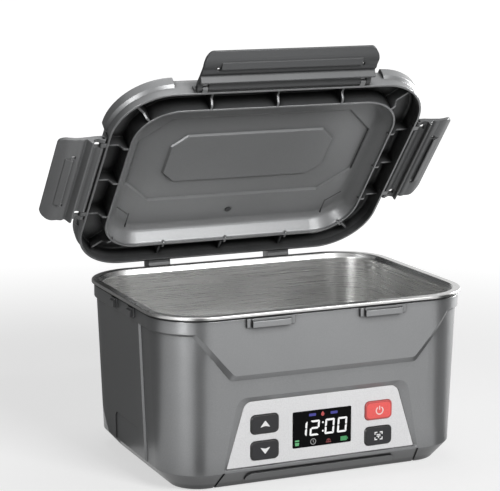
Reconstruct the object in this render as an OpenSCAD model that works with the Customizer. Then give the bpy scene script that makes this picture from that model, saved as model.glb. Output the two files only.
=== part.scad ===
// Electric lunch box: a heated base with a control panel, a lift-out steel pot
// and a rear-hinged lid with three swing latches. Drawn with the lid part open.
// Millimetres. X right, Y to the back, Z up. Origin under the middle of the body.
// Z = 0 is the surface that the rubber feet stand on.

/* [Food pot] */
// Length over the pot's rolled rim
pot_l = 240; // [200:1:300]
// Width over the pot's rolled rim
pot_w = 181; // [174:1:230]
// Height of the rim's top above the table
rim_h = 126; // [120:1:150]
// Corner radius of the rim
corner_r = 39; // [35:1:44]
// Width of the flat rim
flange_w = 5.8; // [4.5:0.1:7]
// Depth of the pot inside
pot_depth = 56; // [45:1:57]
// Radius between the pot's wall and its floor
pot_floor_r = 8; // [4:0.5:12]
// Thickness of the pot's sheet
sheet = 0.8; // [0.6:0.1:1]
// Depth of the rolled edge under the rim
bead_h = 2.2; // [1.8:0.1:3]

/* [Housing] */
// Height of the upper band
band_h = 9.5; // [6:0.5:12]
// How far the band stands out from the wall below it
band_step = 1.8; // [1:0.1:2.4]
// How much narrower each side of the wall is at its foot
side_taper = 3.8; // [1:0.1:6]
// Height of the line where the wall turns in under the box
skirt_z = 13.6; // [10:0.2:15.4]
// How far the lower chamfer runs in
chamfer_in = 11.4; // [8:0.2:13]
// Wall thickness
wall = 1.9; // [1.6:0.1:2.2]
// Height of the front apron below the band
apron_h = 29.7; // [20:0.1:38]
// Length of the apron's lower edge
apron_l = 137.4; // [100:0.2:150]
// Length of the apron's front where it leaves the band
apron_top_l = 192; // [170:1:200]

/* [Control panel] */
// Length of the panel's upper edge
panel_top_l = 116.6; // [100:1:124]
// Length of the panel's lower edge
panel_bot_l = 144.4; // [130:1:150]
// Height of the panel's lower edge above the table
panel_z = 16.4; // [16:0.2:20]
// Height of the panel
panel_h = 45.8; // [40:0.2:46]
// Length of a button
button_l = 21; // [14:0.5:22]
// Height of a button
button_h = 13.4; // [9:0.2:15]
// Distance of the buttons from the middle
button_x = 43.8; // [41:0.2:46]
// Distance between an upper and a lower button
button_pitch = 18.6; // [17:0.2:21]
// Travel of a button
button_travel = 0.8; // [0.4:0.1:0.9]
// Length of the display window
display_l = 45; // [34:0.5:50]
// Height of the display window
display_h = 25.8; // [18:0.2:32]

/* [Lid] */
// Height of the lid above its lip
lid_h = 15.3; // [13:0.1:20]
// How far the closed lid's lip hangs below the rim's top
lip_drop = 4.7; // [3.8:0.1:5]
// Angle of the lid from closed, as drawn
lid_open = 49.34; // [0:1:94]
// Width of the channel between the skirt and the inner wall
channel_w = 16; // [12:0.5:20]
// Corner radius of the inner wall
inner_r = 31.6; // [24:0.2:36]
// Distance of the hinge behind the rim's rear edge
hinge_back = 13.5; // [12.5:0.5:16]
// Depth of the hinge below the rim's top
hinge_drop = 13; // [11:0.5:15]
// Distance of each hinge from the middle
hinge_x = 50; // [35:1:60]
// Radius of the hinge pins
hinge_pin_r = 2; // [1.5:0.1:2.5]

/* [Latches] */
// Length of the front latch
front_latch_l = 134; // [100:1:150]
// Length of a side latch
side_latch_l = 86; // [60:1:90]
// Distance of the side latches towards the front
side_latch_y = 6; // [0:1:8]
// Length of a latch from its pin to its free edge
latch_reach = 31.4; // [27:0.2:36]
// Radius of the latch pins
latch_pin_r = 1; // [0.8:0.1:1.2]

/* [Hidden] */
$fn = 48;

// Centres of the corner radii, shared by the pot, the housing and the skirt of the lid
cx = pot_l / 2 - corner_r;
cy = pot_w / 2 - corner_r;
soft_gap = 0.3;
run_gap = 0.06;

// Radii of the housing at the corners, from the rim inwards
band_r = corner_r - 1.8;
lower_r = band_r - band_step;
skirt_r = lower_r - side_taper;
base_r = skirt_r - chamfer_in;
cover_r = base_r - 1.6;

// Heights, from the table up
base_z = 1;
cover_t = 2.4;
seal_h = 1.2;
body_top = rim_h - bead_h - soft_gap - seal_h;
ledge_z = body_top - 1.3;
band_z = body_top - band_h;

power_board_z = base_z + cover_t + 6.6;
power_board_y = cy - 15.5;

// Pot and the well it stands in
mouth_r = corner_r - flange_w;
pot_r = mouth_r - 1.2;
pot_foot_r = pot_r - 2.4;
pot_z = rim_h - pot_depth - sheet;
plate_t = 2.4;
well_clear = 0.4;
liner_t = 0.8;
floor_z = pot_z - soft_gap - plate_t;
liner_r = pot_r + well_clear + liner_t;
liner_foot_r = pot_foot_r + well_clear + liner_t;

// Front panel, measured forward from the middle of the box
panel_t = 2;
panel_sink = 1.4;
panel_y = cy + wall_r(panel_z) - panel_sink;
frame_t = 2.4;
frame_back = panel_y - panel_t - frame_t;
panel_mid = panel_z + panel_h / 2;
board_y = frame_back - 7.8;
board_t = 1.6;
board_l = 128;
board_h = 40;
board_mid = panel_mid - 2;
board_screw_x = board_l / 2 - 4;
board_screw_z = board_h / 2 - 4;
mat_t = 1;
dome_h = 1.6;
button_proud = 1.1;
button_r = 3.6;
hole_gap = 0.3;

// Lid, drawn closed and then turned about the hinge
lip_z = rim_h - lip_drop;
crown_z = lip_z + lid_h;
roof_t = 2;
lip_r = corner_r + 2;
skirt_in_r = corner_r + 0.3;
hinge_y = pot_w / 2 + hinge_back;
hinge_z = rim_h - hinge_drop;
hinge_ear_t = 5;
hinge_arm_w = 17.6;
inner_cx = pot_l / 2 - channel_w - inner_r;
inner_cy = pot_w / 2 - channel_w - inner_r;
rim_wall = 1.6;

// Latches
latch_out = 2.7;
latch_y = cy + lip_r + latch_out;
latch_x = cx + lip_r + latch_out;
latch_z = lip_z + 2.3;
barrel_r = 2.1;
ear_w = 4;
ear_in = 6;
catch_z = body_top - 6.2;
catch_top = lip_z - soft_gap;
catch_out = 3.4;

function wall_r(z) = skirt_r + (lower_r - skirt_r) * (z - skirt_z) / (band_z - skirt_z);
function unit(v) = v / norm(v);

// Points of one rounded corner of a section, at b between a and c
function corner(a, b, c, r, n) =
    let (u = unit(a - b), v = unit(c - b), h = acos(u * v) / 2)
    let (o = b + unit(u + v) * r / sin(h))
    let (s = b + u * r / tan(h) - o, e = b + v * r / tan(h) - o)
    let (a0 = atan2(s[1], s[0]), d0 = atan2(e[1], e[0]) - a0)
    let (d = d0 > 180 ? d0 - 360 : d0 < -180 ? d0 + 360 : d0)
    r < 0.05 || abs(u * v) > 0.9999
        ? [b]
        : [for (i = [0:n]) o + r * [cos(a0 + d * i / n), sin(a0 + d * i / n)]];

// A section given as [x, y, radius] at every corner
function rounded(p, n = 5) =
    [for (i = [0:len(p) - 1])
        let (k = len(p), a = p[(i + k - 1) % k], b = p[i], c = p[(i + 1) % k])
        each corner([a[0], a[1]], [b[0], b[1]], [c[0], c[1]], b[2], n)];

// Sweeps a wall section, drawn as distance from the corner centre against height,
// around a rounded rectangle
module sweep(ax, ay) {
    for (q = [0:3]) {
        sx = q == 0 || q == 3 ? 1 : -1;
        sy = q < 2 ? 1 : -1;
        translate([sx * ax, sy * ay, 0])
            rotate([0, 0, 90 * q])
                rotate_extrude(angle = 90)
                    children();
    }
    for (s = [0, 180])
        rotate([0, 0, s]) {
            translate([ax, ay, 0])
                rotate([90, 0, 0])
                    linear_extrude(2 * ay)
                        children();
            rotate([0, 0, 90])
                translate([ay, ax, 0])
                    rotate([90, 0, 0])
                        linear_extrude(2 * ax)
                            children();
        }
}

// Solid block on a rounded rectangle, its side drawn as corners [r, z, radius]
module block(ax, ay, side) {
    low = side[0][1];
    high = side[len(side) - 1][1];
    sweep(ax, ay)
        polygon(rounded(concat([[0, low, 0]], side, [[0, high, 0]])));
    translate([-ax, -ay, low])
        cube([2 * ax, 2 * ay, high - low]);
}

// Rounded plate standing on the local XY plane, with its upper edge eased by c
module slab(l, w, r, z0, z1, c = 0) {
    block(l / 2 - r, w / 2 - r, [[r, z0, 0], [r, z1 - c, 0], [r - c, z1, 0]]);
}

// Section drawn in x and z, pushed forward from y = -y0 to y = -y1
module front_plate(points, y0, y1) {
    translate([0, -y0, 0])
        rotate([90, 0, 0])
            linear_extrude(y1 - y0)
                polygon(points);
}

// Puts a piece that is drawn on the XY plane on the front, facing forward
module on_front(x, z) {
    translate([x, 0, z])
        rotate([90, 0, 0])
            children();
}

module rod_x(r, l) {
    rotate([0, 90, 0])
        cylinder(h = l, r = r, center = true);
}

// Round wire along a path whose legs are parallel to the axes, with quarter bends
module wire_run(path, r = 0.9, bend = 2.5) {
    last = len(path) - 1;
    for (i = [0:last - 1]) {
        d = unit(path[i + 1] - path[i]);
        from = path[i] + (i > 0 ? bend : 0) * d;
        to = path[i + 1] - (i < last - 1 ? bend : 0) * d;
        translate(from)
            rotate([0, acos(d[2]), atan2(d[1], d[0])])
                cylinder(h = norm(to - from), r = r, $fn = 24);
    }
    for (i = [1:last - 1]) {
        u = unit(path[i] - path[i - 1]);
        v = unit(path[i + 1] - path[i]);
        w = cross(u, v);
        c = path[i] + bend * (v - u);
        multmatrix([[-v[0], u[0], w[0], c[0]], [-v[1], u[1], w[1], c[1]], [-v[2], u[2], w[2], c[2]]])
            rotate_extrude(angle = 90, $fn = 48)
                translate([bend, 0])
                    circle(r = r, $fn = 24);
    }
}

// Moves what is drawn for the closed lid to the angle shown
module with_lid() {
    translate([0, hinge_y, hinge_z])
        rotate([-lid_open, 0, 0])
            translate([0, -hinge_y, -hinge_z])
                children();
}

// Trapezoid of the control panel, grown by g, with rounded upper corners
function panel_shape(g, r) = rounded([
    [-panel_bot_l / 2 - g * 1.6, panel_z - min(g, 1.8), 0.6],
    [panel_bot_l / 2 + g * 1.6, panel_z - min(g, 1.8), 0.6],
    [panel_top_l / 2 + g * 1.6, panel_z + panel_h + g, r],
    [-panel_top_l / 2 - g * 1.6, panel_z + panel_h + g, r]]);

// Outline of the apron, grown by g below and by as much as keeps its sides parallel
apron_lean = (apron_top_l - apron_l) / 2 / (apron_h + 1);
function apron_shape(g) = rounded([
    [-apron_l / 2 - g * 0.5, band_z - apron_h - g, 5],
    [apron_l / 2 + g * 0.5, band_z - apron_h - g, 5],
    [apron_top_l / 2 + g * (0.5 + apron_lean), band_z + 1, 0],
    [apron_top_l / 2 + g * (0.5 + apron_lean), band_z + 4, 0],
    [-apron_top_l / 2 - g * (0.5 + apron_lean), band_z + 4, 0],
    [-apron_top_l / 2 - g * (0.5 + apron_lean), band_z + 1, 0]]);

// Places of the four buttons as [x, z]
button_mid = panel_mid - 3.1;
up_at = [-button_x, button_mid + button_pitch / 2];
down_at = [-button_x, button_mid - button_pitch / 2];
power_at = [button_x, button_mid + button_pitch / 2];
mode_at = [button_x, button_mid - button_pitch / 2];
display_z = panel_mid - 1.4;

// Openings through the panel and the frame behind it
module panel_openings(y0, y1) {
    for (p = [up_at, down_at, power_at, mode_at])
        on_front(p[0], p[1])
            slab(button_l + 2 * hole_gap, button_h + 2 * hole_gap, button_r, y0, y1);
    on_front(0, display_z)
        slab(display_l + 0.3, display_h + 0.3, 1, y0, y1);
}

cover_screw_r = 1.45;
cover_screws_at = [
    [cx + 9.2, cy + 9.2], [-cx - 9.2, cy + 9.2],
    [cx + 9.2, -cy - 9.2], [-cx - 9.2, -cy - 9.2],
    [0, cy + 13], [0, -cy - 13]];
feet_at = [[cx - 3, cy - 5.5], [3 - cx, cy - 5.5], [cx - 3, 5.5 - cy], [3 - cx, 5.5 - cy]];
foot_r = 7;
foot_pocket = 0.6;

inlet_x = cx - 19;
inlet_z = 34;
inlet_l = 24;
inlet_h = 15;

module housing_wall() {
    sweep(cx, cy)
        polygon(rounded([
            [cover_r, base_z, 0],
            [base_r, base_z, 0.4],
            [skirt_r, skirt_z, 1.2],
            [lower_r, band_z - 0.8, 0],
            [band_r, band_z + 0.8, 0.6],
            [band_r, body_top, 0.5],
            [lower_r + 0.6, body_top, 0],
            [lower_r + 0.6, ledge_z, 0],
            [lower_r - wall, ledge_z, 0],
            [lower_r - wall, band_z, 0],
            [skirt_r - wall, skirt_z + 1, 2],
            [cover_r + 3, base_z + cover_t + 2, 0],
            [cover_r - 2.6, base_z + cover_t + 2, 0],
            [cover_r - 2.6, base_z + cover_t, 0],
            [cover_r, base_z + cover_t, 0]], 4));
}

// Apron on the front: level with the band, so it stands out more the lower it goes,
// with a bevel below and on each side that follows the rounded corners
module apron() {
    low = band_z - apron_h - 8;
    intersection() {
        sweep(cx, cy)
            polygon([[wall_r(low) - 1, low], [band_r, low], [band_r, band_z + 2], [lower_r - 1, band_z + 2]]);
        hull()
            for (b = [[0.3, -0.4], [-3.3, 4.4]])
                intersection() {
                    block(cx, cy, [[band_r + b[0], low, 0], [band_r + b[0], band_z + 4, 0]]);
                    front_plate(apron_shape(b[1]), cy + band_r - 22, cy + band_r + 1);
                }
    }
}

// Raised field on an end wall, with bevelled edges and a sunken lower part
module side_field() {
    rise = 1.4;
    half = cy - 15.8;
    up = band_z - 0.8 - skirt_z;
    translate([cx + skirt_r, 0, skirt_z])
        rotate([0, atan(side_taper / up), 0])
            difference() {
                intersection() {
                    linear_extrude(up + 1.5)
                        polygon([[-1, -half], [0, -half], [rise, rise - half],
                            [rise, half - rise], [0, half], [-1, half]]);
                    rotate([90, 0, 0])
                        linear_extrude(pot_w, center = true)
                            polygon([[-1, 0], [0, 0], [rise, rise], [rise, up + 1.5], [-1, up + 1.5]]);
                }
                translate([rise - 0.8, 0, 0])
                    rotate([90, 0, 90])
                        linear_extrude(2)
                            polygon([[9.8 - half, -1], [half - 9.8, -1], [half - 11.4, 19],
                                [half - 14.7, 22], [14.7 - half, 22], [11.4 - half, 19]]);
            }
}

// Narrow catch block that a latch hooks under, drawn for the front wall
module catch_block(l, out) {
    translate([-l / 2, 0, 0])
        rotate([90, 0, 90])
            linear_extrude(l)
                polygon(rounded([
                    [1, catch_z, 0],
                    [-out, catch_z, 0.5],
                    [-out, catch_top - 0.6, 0.3],
                    [-min(out, 1.8), catch_top, 0],
                    [-min(out, 1.8), body_top, 0.3],
                    [1, body_top, 0]], 3));
}

module catches() {
    for (s = [-1, 1])
        translate([s * front_latch_l * 0.318, -cy - band_r, 0]) {
            catch_block(35.5, 1.0);
            catch_block(28.2, catch_out);
            translate([-16.6, 0, 0])
                catch_block(2.4, 1.7);
        }
    for (s = [-1, 1], t = [-1, 1])
        rotate([0, 0, 90 * s])
            translate([s * (t * side_latch_l * 0.2 - side_latch_y), -cx - band_r, 0]) {
                catch_block(12, 1.0);
                catch_block(8, catch_out);
            }
}

// Two pairs of ears at the back that carry the hinge pins
module hinge_ears() {
    for (s = [-1, 1], t = [-1, 1])
        translate([s * hinge_x + t * (hinge_arm_w / 2 + soft_gap + hinge_ear_t / 2), 0, 0]) {
            translate([-hinge_ear_t / 2, 0, 0])
                rotate([90, 0, 90])
                    linear_extrude(hinge_ear_t)
                        polygon([[cy + band_r - 1, hinge_z + 5.5], [hinge_y, hinge_z + 5.5],
                            [hinge_y + 3.9, hinge_z - 3.9], [cy + band_r - 2, hinge_z - 22],
                            [cy + lower_r - 2, hinge_z - 22]]);
            translate([0, hinge_y, hinge_z])
                rod_x(5.5, hinge_ear_t);
        }
    for (s = [-1, 1])
        translate([s * hinge_x, cy + band_r + 0.6, hinge_z - 2])
            cube([hinge_arm_w + 4, 3.2, 12], center = true);
}

// Tab and grooves on the chamfer under the panel
module chamfer_tab() {
    intersection() {
        sweep(cx, cy)
            polygon([[base_r - 1, base_z], [base_r + 1.6, base_z], [skirt_r + 0.4, skirt_z - 1.2],
                [skirt_r - 3, skirt_z - 1.2]]);
        front_plate(rounded([[-57, 5.2, 0.6], [57, 5.2, 0.6], [57, 11.2, 4], [-57, 11.2, 4]]),
            cy, pot_w / 2);
    }
}

module chamfer_grooves() {
    intersection() {
        sweep(cx, cy)
            polygon([[base_r + 0.2, base_z - 2], [skirt_r + 2, skirt_z - 2], [skirt_r + 2, skirt_z + 0.4],
                [skirt_r - 0.8, skirt_z + 0.4], [base_r - 2, base_z - 0.4]]);
        for (s = [-1, 1])
            front_plate([
                [s * (panel_bot_l / 2 + 1.4), skirt_z + 1],
                [s * (panel_bot_l / 2 + 3.4), skirt_z + 1],
                [s * (panel_bot_l / 2 + 6.4), base_z - 1],
                [s * (panel_bot_l / 2 + 4.8), base_z - 1]], cy, pot_w / 2);
    }
}

module housing() color([0.42, 0.43, 0.44]) difference() {
    union() {
        housing_wall();
        apron();
        for (a = [0, 180])
            rotate([0, 0, a])
                side_field();
        catches();
        hinge_ears();
        chamfer_tab();
        // Frame behind the control panel, and the posts that the board is screwed to
        intersection() {
            front_plate(panel_shape(3, 6), frame_back, panel_y + 3);
            translate([-pot_l / 2, -pot_w / 2, skirt_z])
                cube([pot_l, pot_w, floor_z - liner_t - 0.5 - skirt_z]);
            block(cx, cy, [[skirt_r - 0.5, skirt_z, 0], [lower_r - 0.5, band_z, 0]]);
        }
        for (s = [-1, 1], t = [-1, 1])
            on_front(s * board_screw_x, board_mid + t * board_screw_z)
                translate([0, 0, board_y])
                    cylinder(h = frame_back - board_y + 0.5, r = 2.8);
        for (p = cover_screws_at)
            translate([p[0], p[1], base_z + cover_t])
                cylinder(h = 12, r = 4);
        // Seat of the power inlet
        translate([inlet_x, cy + wall_r(inlet_z) - 3.4, inlet_z])
            cube([inlet_l + 7, 4, inlet_h + 7], center = true);
    }
    // Sunken field of the control panel with its sloping border
    hull() {
        front_plate(panel_shape(0, 6.5), panel_y, panel_y + 0.05);
        front_plate(panel_shape(4.2, 9), panel_y + 3.4, panel_y + 3.5);
    }
    front_plate(panel_shape(0.15, 6.5), panel_y - panel_t, panel_y + 0.1);
    panel_openings(frame_back - 0.5, panel_y + 0.1);
    chamfer_grooves();
    for (p = cover_screws_at)
        translate([p[0], p[1], base_z])
            cylinder(h = 12.5, r = cover_screw_r + 0.05);
    for (s = [-1, 1], t = [-1, 1])
        on_front(s * board_screw_x, board_mid + t * board_screw_z)
            translate([0, 0, board_y - 1])
                cylinder(h = 7, r = 1.05);
    for (s = [-1, 1])
        translate([s * hinge_x, hinge_y, hinge_z])
            rod_x(hinge_pin_r + 0.01, hinge_arm_w + 2 * soft_gap + 2 * hinge_ear_t + 1);
    // Flat seat and opening of the power inlet
    translate([inlet_x, cy + wall_r(inlet_z) - 0.8, inlet_z])
        rotate([-90, 0, 0])
            slab(inlet_l + 5.4, inlet_h + 5.4, 5.2, 0, 6);
    translate([inlet_x, cy + skirt_r, inlet_z])
        rotate([90, 0, 0])
            slab(inlet_l, inlet_h, 4, -8, 12);
}

module base_cover() color([0.16, 0.16, 0.17]) difference() {
    union() {
        block(cx, cy, [[cover_r - 0.2, base_z, 0], [cover_r - 0.2, base_z + cover_t, 0]]);
        // Low ribs that stiffen the cover under the rear board
        for (x = [-54, -18, 18, 54])
            translate([x - 0.8, 6, base_z + cover_t])
                cube([1.6, cy + 8 - 6, 3.2]);
        // Posts of the rear board, with the pins and formed heads that hold it
        for (x = [-46, 22], y = [-20, 20])
            translate([x, power_board_y + y, base_z + cover_t]) {
                cylinder(h = power_board_z - base_z - cover_t, r = 3);
                cylinder(h = power_board_z - base_z - cover_t + 2.6, r = 1.4);
                translate([0, 0, power_board_z - base_z - cover_t + 1.6])
                    cylinder(h = 1, r = 2.2);
            }
    }
    for (p = cover_screws_at)
        translate([p[0], p[1], base_z - 1]) {
            cylinder(h = 6, r = 1.8);
            cylinder(h = 2.4, r = 3.1);
        }
    for (p = feet_at)
        translate([p[0], p[1], base_z - 1]) {
            cylinder(h = 1 + foot_pocket, r = foot_r + 0.15);
            cylinder(h = 6, r = 2.1);
        }
    // Air slots
    for (i = [-4:4], s = [-1, 1])
        translate([i * 11, s * 24 + 4, base_z + cover_t / 2])
            cube([3, 22, 8], center = true);
}

module cover_screws() color([0.62, 0.63, 0.65])
    for (p = cover_screws_at)
        translate([p[0], p[1], base_z + 0.2]) difference() {
            union() {
                cylinder(h = 1.2, r = 2.9);
                cylinder(h = 11, r = cover_screw_r);
            }
            for (a = [0, 90])
                rotate([0, 0, a])
                    translate([-1.7, -0.3, -0.1])
                        cube([3.4, 0.6, 0.9]);
        }

module rubber_feet() color([0.08, 0.08, 0.08])
    for (p = feet_at)
        translate([p[0], p[1], 0]) {
            difference() {
                cylinder(h = base_z + foot_pocket, r = foot_r);
                translate([0, 0, -0.1])
                    cylinder(h = 0.5, r = foot_r - 3);
            }
            cylinder(h = base_z + cover_t + 1, r = 2);
            translate([0, 0, base_z + cover_t + 0.1])
                cylinder(h = 1.6, r1 = 2.8, r2 = 1.6);
        }

module control_panel() color([0.9, 0.9, 0.91]) difference() {
    front_plate(panel_shape(0, 6.5), panel_y - panel_t, panel_y);
    panel_openings(panel_y - panel_t - 1, panel_y + 1);
}

module display_window() color([0.03, 0.03, 0.035])
    on_front(0, display_z)
        slab(display_l, display_h, 0.8, panel_y - 1.5, panel_y + 0.1, 0.15);

module display_module() color([0.12, 0.12, 0.12]) {
    on_front(0, display_z) {
        slab(display_l - 2, display_h - 1.6, 1, board_y, panel_y - 1.6);
        // Digit cells in the face of the module
        for (i = [-1.5:1:1.5])
            translate([i * 9.2, 0, panel_y - 1.7])
                slab(7.6, 13, 0.6, 0, 0.15);
    }
}

module keypad_mat() color([0.75, 0.76, 0.74])
    for (s = [-1, 1])
        on_front(s * button_x, button_mid) {
            slab(button_l, 2 * button_pitch - 2, 2, board_y, board_y + mat_t);
            for (t = [-1, 1])
                translate([0, t * button_pitch / 2, board_y + mat_t])
                    cylinder(h = dome_h, r1 = 5, r2 = 4);
        }

// Chips and small parts on the control board as [x, z, length, height, thickness]
board_chips = [
    [-30, -4, 12, 12, 1.6],
    [6, 8, 8, 6, 1.4],
    [34, -6, 10, 9, 3.2],
    [-6, -12, 14, 5, 3],
    [22, 10, 4, 2, 1],
    [-46, 8, 4, 2, 1],
    [-12, 10, 3, 5, 1.2],
    [48, 8, 3, 5, 1.2]];

module control_board() color([0.05, 0.32, 0.18]) difference() {
    union() {
        on_front(0, board_mid)
            slab(board_l, board_h, 2, board_y - board_t, board_y);
        // Controller, connector, buzzer and small parts on the rear face
        on_front(0, board_mid)
            for (c = board_chips)
                translate([c[0], c[1], board_y - board_t - c[4] / 2])
                    cube([c[2], c[3], c[4]], center = true);
    }
    for (s = [-1, 1], t = [-1, 1])
        on_front(s * board_screw_x, board_mid + t * board_screw_z)
            translate([0, 0, board_y - board_t - 1])
                cylinder(h = 4, r = 1.4);
}

module board_screws() color([0.7, 0.7, 0.72])
    for (s = [-1, 1], t = [-1, 1])
        on_front(s * board_screw_x, board_mid + t * board_screw_z)
            translate([0, 0, board_y - board_t]) {
                translate([0, 0, -1.4])
                    cylinder(h = 1.4, r = 2.3);
                cylinder(h = 6, r = 1);
            }

// One button: cap, collar behind the frame and stem over the keypad
module button_at(p) {
    on_front(p[0], p[1]) {
        slab(button_l, button_h, button_r - 0.3, frame_back - 1.6, panel_y + button_proud, 0.5);
        slab(button_l + 2.6, button_h + 2.4, 3, frame_back - 1.8, frame_back - soft_gap);
        // The stem ends above the keypad's dome by the button's travel
        stem_y = board_y + mat_t + dome_h + soft_gap + button_travel;
        translate([0, 0, stem_y])
            cylinder(h = frame_back - 1.6 - stem_y, r = 3.4);
    }
}

module up_button() color([0.17, 0.17, 0.18]) button_at(up_at);
module down_button() color([0.17, 0.17, 0.18]) button_at(down_at);
module power_button() color([0.86, 0.32, 0.3]) button_at(power_at);
module mode_button() color([0.17, 0.17, 0.18]) button_at(mode_at);

heater_l = pot_l - 94;
heater_w = pot_w - 99;
strip_y = heater_w / 2 - 13;

module well_liner() color([0.72, 0.73, 0.74]) difference() {
    union() {
        sweep(cx, cy)
            polygon(rounded([
                [liner_foot_r - 8, floor_z - liner_t, 0],
                [liner_foot_r, floor_z - liner_t, 3.6],
                [liner_r, ledge_z - 1, 0],
                [liner_r, ledge_z, 0],
                [lower_r + 0.4, ledge_z, 0],
                [lower_r + 0.4, ledge_z + liner_t, 0],
                [liner_r - liner_t, ledge_z + liner_t, 0.6],
                [liner_r - liner_t, ledge_z - 1, 0],
                [liner_foot_r - liner_t, floor_z, 2.8],
                [liner_foot_r - 8, floor_z, 0]]));
        block(cx, cy, [[liner_foot_r - 7.9, floor_z - liner_t, 0], [liner_foot_r - 7.9, floor_z, 0]]);
    }
    slab(heater_l + 2, heater_w + 2, 4, floor_z - 2, floor_z + 2);
}

module rim_seal() color([0.07, 0.07, 0.07])
    sweep(cx, cy)
        polygon(rounded([[liner_r + 0.2, body_top, 0], [band_r - 0.4, body_top, 0.3],
            [band_r - 0.4, body_top + seal_h, 0.5], [liner_r + 0.2, body_top + seal_h, 0.5]], 3));

module heating_plate() color([0.75, 0.76, 0.78]) {
    slab(heater_l + 26, heater_w + 30, 14, floor_z, floor_z + plate_t, 0.5);
}

module heating_element() color([0.6, 0.52, 0.38]) {
    slab(heater_l, heater_w, 3, floor_z - 1, floor_z);
    for (y = [-strip_y, 0, strip_y])
        translate([0, y, 0])
            slab(heater_l - 16, 14, 1.5, floor_z - 4, floor_z - 1);
    for (x = [-1, 1])
        translate([x * (heater_l / 2 - 4) - 1, 2 - strip_y, floor_z - 3.2])
            cube([2, 2 * strip_y - 4, 2.2]);
}

module thermostat() color([0.85, 0.82, 0.7])
    translate([heater_l / 2 - 33, strip_y / 2, floor_z - 7]) {
        cylinder(h = 6, r = 6);
        for (x = [-3.2, 3.2])
            translate([x - 0.4, -1.6, -3.4])
                cube([0.8, 3.2, 3.6]);
    }

module thermal_fuse() color([0.8, 0.8, 0.82])
    translate([33 - heater_l / 2, strip_y / 2, floor_z - 3.3]) {
        rod_x(2, 12);
        rod_x(0.6, 26);
        translate([-1.5, -2.6, 0])
            cube([3, 5.2, 2.3]);
    }

module insulation_pad() color([0.87, 0.84, 0.74]) difference() {
    slab(heater_l + 14, heater_w + 22, 6, floor_z - 8.3, floor_z - 4.3);
    translate([heater_l / 2 - 33, strip_y / 2, floor_z - 10])
        cylinder(h = 8, r = 6.6);
    translate([33 - heater_l / 2, strip_y / 2, floor_z - 6])
        cube([30, 6.5, 8], center = true);
}

module heater_straps() color([0.66, 0.67, 0.69]) {
    w = heater_w / 2 + 13.5;
    for (x = [-1, 1])
        translate([x * (heater_l / 2 - 7) - 7, 0, 0])
            rotate([90, 0, 90])
                linear_extrude(14)
                    polygon([[-w, floor_z - 9.3], [w, floor_z - 9.3],
                        [w, floor_z - liner_t - 1], [w + 7.5, floor_z - liner_t - 1],
                        [w + 7.5, floor_z - liner_t], [w - 1, floor_z - liner_t],
                        [w - 1, floor_z - 8.3], [1 - w, floor_z - 8.3],
                        [1 - w, floor_z - liner_t], [-w - 7.5, floor_z - liner_t],
                        [-w - 7.5, floor_z - liner_t - 1], [-w, floor_z - liner_t - 1]]);
}

module power_board() color([0.06, 0.3, 0.2]) {
    difference() {
        translate([-12, power_board_y - 1, 0])
            slab(80, 48, 2, power_board_z, power_board_z + 1.6);
        for (x = [-46, 22], y = [-20, 20])
            translate([x, power_board_y + y, power_board_z - 1])
                cylinder(h = 4, r = 1.5);
    }
    translate([-30, power_board_y + 4, power_board_z + 1.6])
        slab(22, 20, 1.5, 0, 17, 1);
    for (y = [-10, 6])
        translate([-4, power_board_y + y, power_board_z + 1.6])
            cylinder(h = 20, r = 6.2);
    translate([-44, power_board_y - 18.4, power_board_z + 1.6])
        cube([9, 9.6, 12]);
    for (x = [6, 13, 20])
        translate([x, power_board_y - 12, power_board_z + 1.6])
            cube([4.6, 10, 15]);
    translate([6, power_board_y + 6, power_board_z + 1.6])
        cube([18, 9, 10]);
}

cell_r = 9.1;
cell_l = 65;
cell_pitch = 19;
tray_z = base_z + cover_t;
tray_y = 22 - cy;

module battery_tray() color([0.2, 0.2, 0.22])
    translate([0, tray_y, 0]) difference() {
        slab(2 * cell_l + 9, 3 * cell_pitch + 3, 2.5, tray_z, tray_z + 11);
        for (s = [-1, 1], i = [-1:1])
            translate([s * (cell_l / 2 + 0.9), i * cell_pitch, tray_z + 1.6 + cell_r]) {
                rod_x(cell_r + 0.15, cell_l + 0.6);
                translate([0, 0, 5])
                    cube([cell_l + 0.6, 2 * cell_r, 10], center = true);
            }
    }

module battery_cells() color([0.16, 0.42, 0.62])
    for (s = [-1, 1], i = [-1:1])
        translate([s * (cell_l / 2 + 0.9), tray_y + i * cell_pitch, tray_z + 1.6 + cell_r]) {
            rod_x(cell_r, cell_l - 2);
            rod_x(3, cell_l);
        }

module power_inlet() color([0.05, 0.05, 0.05])
    translate([inlet_x, cy + wall_r(inlet_z) - 0.8, inlet_z])
        rotate([-90, 0, 0]) {
            difference() {
                union() {
                    slab(inlet_l - 0.6, inlet_h - 0.6, 3.7, -20, 0.6);
                    slab(inlet_l + 5, inlet_h + 5, 5, 0, 1.4, 0.4);
                }
                slab(17, 8.4, 4.15, -12, 3);
            }
            for (x = [-4.1, 4.1])
                translate([x, 0, -12.5])
                    cylinder(h = 10, r = 1.2);
            for (x = [-5, 5])
                translate([x - 1.2, -0.5, -26])
                    cube([2.4, 1, 6.2]);
        }

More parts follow.
